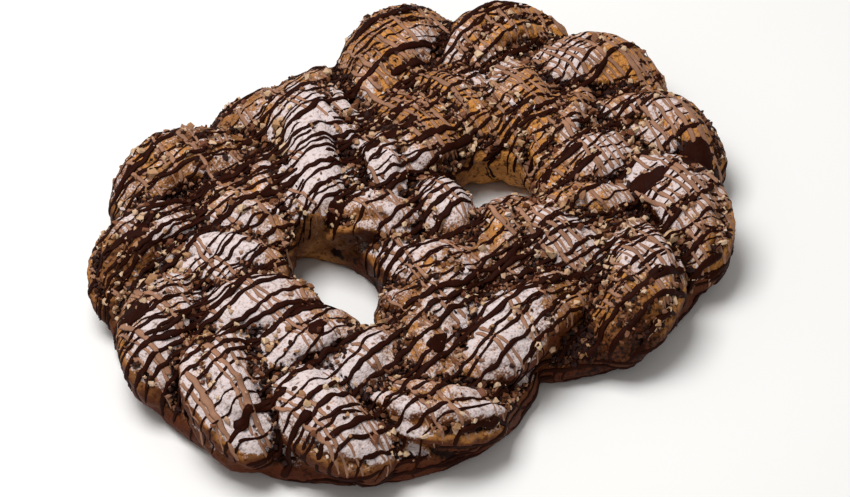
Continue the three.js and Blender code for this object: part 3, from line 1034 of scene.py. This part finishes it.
class KRINGLE_OT_dough(bpy.types.Operator):
    """Plaits, joins and bakes the dough"""

    bl_idname = "kringle.dough"
    bl_label = "Dough"

    def execute(self, context):
        scene = context.scene
        self.plait(scene)
        piece = context.object
        piece.name = piece.data.name = "dough"
        self.bake(scene, piece)
        self.mark(scene, piece)
        finish_piece(piece, dough_material(scene.kringle_colours))
        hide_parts(NODE)
        return {"FINISHED"}

    def plait(self, scene):
        """Ropes and base drawn out from spheres and run together."""
        dough = scene.kringle_dough
        bpy.ops.object.select_all(action="DESELECT")
        bpy.ops.mesh.primitive_uv_sphere_add(segments=48, ring_count=40, radius=1)
        blank = bpy.context.object
        sphere = points_of(blank)
        for number, (course, groove, lobes, phase) in enumerate(Plait(dough).courses()):
            rope = blank
            if number:
                rope = blank.copy()
                rope.data = blank.data.copy()
                scene.collection.objects.link(rope)
            move_points(rope, drawn_out(sphere, course, groove, lobes, phase) + CENTRE_SHIFT)
            rope.select_set(True)
        bpy.context.view_layer.objects.active = blank
        bpy.ops.object.join()
        apply_modifier(blank, "REMESH", mode="VOXEL", voxel_size=dough.mesh_step)
        apply_modifier(blank, "SMOOTH", factor=0.5, iterations=3)

    def bake(self, scene, piece):
        """Lumps and blisters the crust, roughest in the creases, and cuts it flat underneath."""
        dough = scene.kringle_dough
        relief = relief_of(scene, "dough")
        patches = patchy(relief, draws_for(scene, "dough"), ROUGH_REACH)
        x, y, _ = points_of(piece).T
        rough = np.maximum(relief.read(relief.hollow, x, y), 0) + relief.read(patches, x, y)
        smoothed = SUGAR_SMOOTHS * strength_of(SUGAR_PATCHES, x, y)
        weights = np.clip(ROUGH_START + ROUGH_GAIN * rough - smoothed, ROUGH_LEAST, 1)
        name = "rough"
        group = piece.vertex_groups.new(name=name)
        for vertex, weight in enumerate(weights):
            group.add((vertex,), weight, "REPLACE")
        roughen(piece, "Lumps", dough.lump_size, dough.lump_height)
        roughen(piece, "Blisters", dough.blister_size, dough.blister_height, name)
        roughen(piece, "Flecks", dough.fleck_size, dough.fleck_height, name)
        piece.vertex_groups.clear()
        bpy.ops.object.mode_set(mode="EDIT")
        bpy.ops.mesh.select_all(action="SELECT")
        bpy.ops.mesh.bisect(plane_co=(0, 0, 0), plane_no=(0, 0, 1), use_fill=True, clear_inner=True)
        bpy.ops.object.mode_set(mode="OBJECT")
        bpy.ops.object.shade_smooth_by_angle(angle=SHARP_EDGE)

    def mark(self, scene, piece):
        """Keeps where sugar lies, where creases are darkened by chocolate stain and painted shade, and
        where the crust is pale or low.
        """
        relief = relief_of(scene, "dough")
        x, y, z = points_of(piece).T
        normals = np.empty(len(x) * 3, np.float32)
        piece.data.vertices.foreach_get("normal", normals)
        upward = normals.reshape(-1, 3)[:, 2]
        hollow = relief.read(relief.hollow, x, y)
        dip = relief.read(relief.blurred(relief.height, DIP_REACH) - relief.height, x, y) / MM
        toasted = strength_of(TOASTED_PATCHES, x, y)
        pale = PALENESS * eased(x, *PALE_PLACES)
        dusting = DUSTING - PALE_LOSS * pale + PATCH_DUSTING * strength_of(SUGAR_PATCHES, x, y)
        facing = (CLING + (1 - CLING) * eased(upward, *CLING_FACING)) * eased(z, *SUGAR_LEVELS)
        sugar = dusting * facing - HOLLOW_LOSS * np.maximum(hollow, 0) - DIP_LOSS * np.clip(dip, 0, 1)
        sugar = sugar - TOASTED_LOSS * toasted - HEAP_LOSS * strength_of(NUT_HEAPS, x, y)
        # Upward-facing hollows get the crease colour: chocolate stain there, and painted shade where shade
        # falls.
        shade_and_stain = np.clip(hollow, 0, 1) * eased(upward, *STAIN_FACING)
        steep = STEEP_BROWNING * (1 - eased(upward, *STEEP_FACING))
        low = np.maximum.reduce((1 - eased(z, *LOW_LEVELS), steep, toasted))
        golden = np.minimum(1, GOLDEN_GAIN * strength_of(GOLDEN_PATCHES, x, y))
        store(piece, "sugar", sugar)
        # The hollow attribute carries that painted shade and stain, and the toasted patches' chocolate
        # smear.
        store(piece, "hollow", np.maximum(shade_and_stain, TOASTED_STAIN * toasted))
        store(piece, "pale", pale)
        store(piece, "low", low * (1 - golden))


class KRINGLE_OT_milk_drizzle(bpy.types.Operator):
    """Pours thin milk chocolate across the eight, in groups of lines"""

    bl_idname = "kringle.milk_drizzle"
    bl_label = "Milk chocolate drizzle"

    def execute(self, context):
        scene = context.scene
        toppings = scene.kringle_toppings
        rng = draws_for(scene, "milk_drizzle")
        low, high = CAD_BOX
        relief = relief_of(scene, "dough", "chopped_nuts", "crumbs")
        beads = Beads(relief, rng, step=2 * MM, flatness=0.22, span=1, deepest=0.4,
                      least_level=toppings.least_level, fall=MILK_FALL * toppings.fall)
        y = np.arange(low.y, high.y, MM)
        x = low.x + MILK_START * MM
        while x < high.x:
            pour = "dense" if x > MILK_DENSE_FROM * MM else "loose"
            lines = rng.integers(*MILK_LINES[pour])
            sway = wander(rng, y, MILK_GROUP_SWAY)
            for _ in range(lines):
                line = x + sway + wander(rng, y, MILK_LINE_SWAY)
                wide = rng.choice(MILK_WIDTHS, p=MILK_WIDTH_CHANCES)
                clear = strength_of(SUGAR_PATCHES, line, y) < HIDING_SUGAR
                clear = clear & (strength_of(TOASTED_PATCHES, line, y) < HIDING_TOAST)
                beads.pour(line, y, toppings.milk_half_width * wide, clear)
                x += rng.uniform(*MILK_SPACING) * MM
            x += rng.uniform(*MILK_GAPS[pour]) * MM
        material = chocolate_material(
            "Milk chocolate", scene.kringle_colours.milk, roughness=0.55, specular=0.15)
        finish_piece(beads.piece("milk_drizzle"), material)
        return {"FINISHED"}


class KRINGLE_OT_dark_drizzle(bpy.types.Operator):
    """Pours dark chocolate along the eight, thick and thin, with pools where it ran together"""

    bl_idname = "kringle.dark_drizzle"
    bl_label = "Dark chocolate drizzle"

    def execute(self, context):
        scene = context.scene
        toppings = scene.kringle_toppings
        rng = draws_for(scene, "dark_drizzle")
        low, high = CAD_BOX
        relief = relief_of(scene, "dough", "chopped_nuts", "crumbs")
        beads = Beads(relief, rng, step=2.3 * MM, flatness=0.32, span=2, deepest=2,
                      least_level=toppings.least_level, fall=toppings.fall)
        x = np.arange(low.x, high.x, MM)
        pitch = scene.kringle_dough.eight_width / THICK_LINES
        for line in range(THICK_LINES):
            across = (line + 0.5 - THICK_LINES / 2) * pitch
            wave = THICK_WAVE * np.sin(TAU * x / THICK_WAVE_LENGTH + THICK_PHASE * line)
            self.pour_group(toppings, beads, rng, x, across, wave, pitch)
        for start, end, place_y, half_width in DARK_STROKES:
            part = x[(x > start * MM) & (x < end * MM)]
            beads.pour(part, place_y * MM + wander(rng, part, STROKE_SWAY), half_width * MM)
        for toward in (1, -1):
            for level in np.arange(*FLANK_LEVELS) * MM:
                sway = wander(rng, x, FLANK_SWAY)
                half_width = toppings.dark_half_width * rng.uniform(*FLANK_WIDTHS)
                clear = wander(rng, x, FLANK_BREAKS) > FLANK_BREAK_LEVEL * MM
                beads.flank(x, level + sway, toward, half_width, clear)
        for pool in DARK_POOLS:
            beads.pool(*(size * MM for size in pool))
        material = chocolate_material(
            "Dark chocolate", scene.kringle_colours.dark, roughness=0.6, specular=0.05)
        finish_piece(beads.piece("dark_drizzle"), material)
        return {"FINISHED"}

    def pour_group(self, toppings, beads, rng, x, across, wave, pitch):
        """A thickest line, and the thinner ones up to where the next thickest line runs."""
        lines = toppings.dark_between + 1
        for number in range(lines):
            thick = number == 0
            shift = number * pitch / lines
            sway = 0
            if not thick:
                shift += rng.uniform(*DARK_SHIFT) * MM
                sway = wander(rng, x, DARK_WIDE_SWAY)
            sway = sway + wander(rng, x, DARK_FINE_SWAY)
            short = number % 2 and across < 0
            bold = DARK_SHORT if short else DARK_FAR if across > 0 else DARK_NEAR
            thinner = toppings.dark_half_width * bold * rng.uniform(*DARK_WIDTHS)
            half_width = toppings.thick_half_width if thick else thinner
            y = across + shift + wave + sway
            start = rng.uniform(*DARK_SHORT_STARTS) * MM if short else x[0]
            hidden = (strength_of(SUGAR_PATCHES, x, y) > HIDING_SUGAR) & (number % DARK_HIDDEN > 0)
            clear = (x > start) & ~hidden
            thins = rng.uniform(*DARK_THINS) * MM
            beads.pour(x, y, half_width, clear & (x < thins))
            beads.pour(x, y, DARK_THINNER * half_width, clear & (x >= thins))


class KRINGLE_OT_nuts(bpy.types.Operator):
    """Strews chopped nuts, most of them where they roll to rest"""

    bl_idname = "kringle.nuts"
    bl_label = "Chopped nuts"

    def execute(self, context):
        scene = context.scene
        toppings, colours = scene.kringle_toppings, scene.kringle_colours
        rng = draws_for(scene, "chopped_nuts")
        relief = relief_of(scene, "dough")
        patches = patchy(relief, rng, NUT_REACH) ** PATCH_CONTRAST
        rest = np.clip(relief.hollow + NUT_HOLLOW, 0, NUT_HOLLOW_MOST) * patches + NUT_WEIGHT
        rest = rest + NUT_HEAP_WEIGHT * strength_of(NUT_HEAPS, *relief.plan()) ** 2
        weights = rest * (relief.height > NUT_LEVEL) * relief.inland()
        x, y, z = strewn(relief, rng, weights, toppings.nuts)
        sizes = bit_sizes(rng, toppings.nuts, toppings.nut_radius, spread=0.28, most=math.inf,
                          stretch=(0.65, 1.3))
        places = np.stack((x, y, z + NUT_SEAT * sizes.min(axis=1)), axis=1)
        tones = rng.uniform(0, 1, toppings.nuts)
        piece = scatter("chopped_nuts", rng, chopped(count=6, roughness=0.5), places, sizes, tones)
        stops = [(0.1, colours.nut_brown), (0.4, colours.nut_tan), (0.8, colours.nut_pale)]
        finish_piece(piece, bits_material("Chopped nut", stops, roughness=0.6))
        return {"FINISHED"}


class KRINGLE_OT_crumbs(bpy.types.Operator):
    """Strews crumbs of dough, chocolate and clotted sugar, thickest in the creases"""

    bl_idname = "kringle.crumbs"
    bl_label = "Crumbs"

    def execute(self, context):
        scene = context.scene
        toppings, colours = scene.kringle_toppings, scene.kringle_colours
        rng = draws_for(scene, "crumbs")
        relief = relief_of(scene, "dough")
        plan = relief.plan()
        patches = patchy(relief, rng, CRUMB_REACH) ** PATCH_CONTRAST
        rest = eased(relief.hollow, *CRUMB_HOLLOWS) + CRUMB_PATCH_WEIGHT * patches + CRUMB_WEIGHT
        rest = rest + CRUMB_TOASTED_WEIGHT * strength_of(TOASTED_PATCHES, *plan)
        bare = 1 - CRUMB_SUGAR_LOSS * np.clip(strength_of(SUGAR_PATCHES, *plan), 0, 1)
        weights = rest * bare * (relief.height > CRUMB_LEVEL) * relief.inland()
        x, y, z = strewn(relief, rng, weights, toppings.crumbs)
        sizes = bit_sizes(rng, toppings.crumbs, toppings.crumb_radius, spread=0.4, most=1.7,
                          stretch=(0.6, 1.3))
        depth = np.clip(relief.read(relief.hollow, x, y), 0, 1)
        heaped = rng.uniform(0, CRUMB_HEAP, toppings.crumbs) * MM * depth
        places = np.stack((x, y, z + CRUMB_SEAT * sizes.min(axis=1) + heaped), axis=1)
        darker = CRUMB_HOLLOW_TONE * depth + CRUMB_TOASTED_TONE * strength_of(TOASTED_PATCHES, x, y)
        tones = np.clip(rng.uniform(0, CRUMB_TONES, toppings.crumbs) - darker, 0, 1)
        piece = scatter("crumbs", rng, chopped(count=8, roughness=0.7), places, sizes, tones)
        stops = [(0.15, colours.dark), (0.4, colours.crust_brown), (0.7, colours.milk),
                 (0.88, colours.nut_pale), (1.0, colours.sugar)]
        finish_piece(piece, bits_material("Crumbs", stops, roughness=0.75))
        return {"FINISHED"}


class KRINGLE_OT_stage(bpy.types.Operator):
    """Sets the floor, the soft light and the camera"""

    bl_idname = "kringle.stage"
    bl_label = "Stage"

    def execute(self, context):
        scene = context.scene
        stage = scene.kringle_stage
        self.lay_floor(scene)
        self.light(scene, stage)
        turn, rise = stage.azimuth, stage.elevation
        right = Vector((math.cos(turn), math.sin(turn), 0))
        back = Vector((math.sin(turn) * math.cos(rise), -math.cos(turn) * math.cos(rise), math.sin(rise)))
        up = back.cross(right)
        middle = Vector(CENTRE_SHIFT) + Vector((0, 0, stage.aim_level))
        aim = middle + right * stage.aim_right - up * stage.aim_down
        bpy.ops.object.camera_add(location=aim + back * stage.distance)
        camera = context.object
        camera.name = "camera"
        camera.rotation_mode = "QUATERNION"
        camera.rotation_quaternion = (-back).to_track_quat("-Z", "Y")
        camera.data.lens = camera.data.sensor_width * stage.distance / stage.view_width
        scene.camera = camera
        return {"FINISHED"}

    def lay_floor(self, scene):
        """A wide pale ground with its edge far away."""
        bpy.ops.object.select_all(action="DESELECT")
        bpy.ops.mesh.primitive_plane_add(size=FLOOR_SIZE)
        floor = bpy.context.object
        floor.name = "floor"
        floor.data.materials.append(floor_material(scene.kringle_colours.floor))

    def light(self, scene, stage):
        """A large soft light from above on the left, and pale light all round."""
        bpy.ops.object.light_add(type="AREA", location=KEY_PLACE)
        key = bpy.context.object
        key.name = "key"
        key.data.size = KEY_SIZE
        key.data.energy = stage.key_power
        key.rotation_mode = "QUATERNION"
        key.rotation_quaternion = (-KEY_PLACE).to_track_quat("-Z", "Y")
        world = bpy.data.worlds.new("Studio")
        world.use_nodes = True
        background = world.node_tree.nodes["Background"].inputs
        background["Strength"].default_value = stage.world_strength
        background["Color"].default_value = scene.kringle_colours.surroundings
        scene.world = world
        scene.view_settings.view_transform = "Standard"


OPERATORS = (
    KRINGLE_OT_dough, KRINGLE_OT_nuts, KRINGLE_OT_crumbs, KRINGLE_OT_milk_drizzle,
    KRINGLE_OT_dark_drizzle, KRINGLE_OT_stage,
)
GROUPS = {
    "kringle_dough": KringleDough,
    "kringle_toppings": KringleToppings,
    "kringle_colours": KringleColours,
    "kringle_stage": KringleStage,
}


class KRINGLE_PT_sidebar(bpy.types.Panel):
    """Lists the pieces and their sizes"""

    bl_idname = "KRINGLE_PT_sidebar"
    bl_label = "Kringle"
    bl_space_type = "VIEW_3D"
    bl_region_type = "UI"
    bl_category = "Kringle"

    def draw(self, context):
        for operator in OPERATORS:
            self.layout.operator(operator.bl_idname)
        for name, group in GROUPS.items():
            box = self.layout.box()
            for size in group.__annotations__:
                box.prop(getattr(context.scene, name), size)


def register():
    for made in (*GROUPS.values(), *OPERATORS, KRINGLE_PT_sidebar):
        bpy.utils.register_class(made)
    for name, group in GROUPS.items():
        setattr(bpy.types.Scene, name, bpy.props.PointerProperty(type=group))


def unregister():
    for name in GROUPS:
        delattr(bpy.types.Scene, name)
    for made in reversed((*GROUPS.values(), *OPERATORS, KRINGLE_PT_sidebar)):
        bpy.utils.unregister_class(made)


def main():
    """Builds the kringle and its stage."""
    register()
    bpy.ops.kringle.dough()
    bpy.ops.kringle.nuts()
    bpy.ops.kringle.crumbs()
    bpy.ops.kringle.milk_drizzle()
    bpy.ops.kringle.dark_drizzle()
    bpy.ops.kringle.stage()


if __name__ == "__main__":
    main()
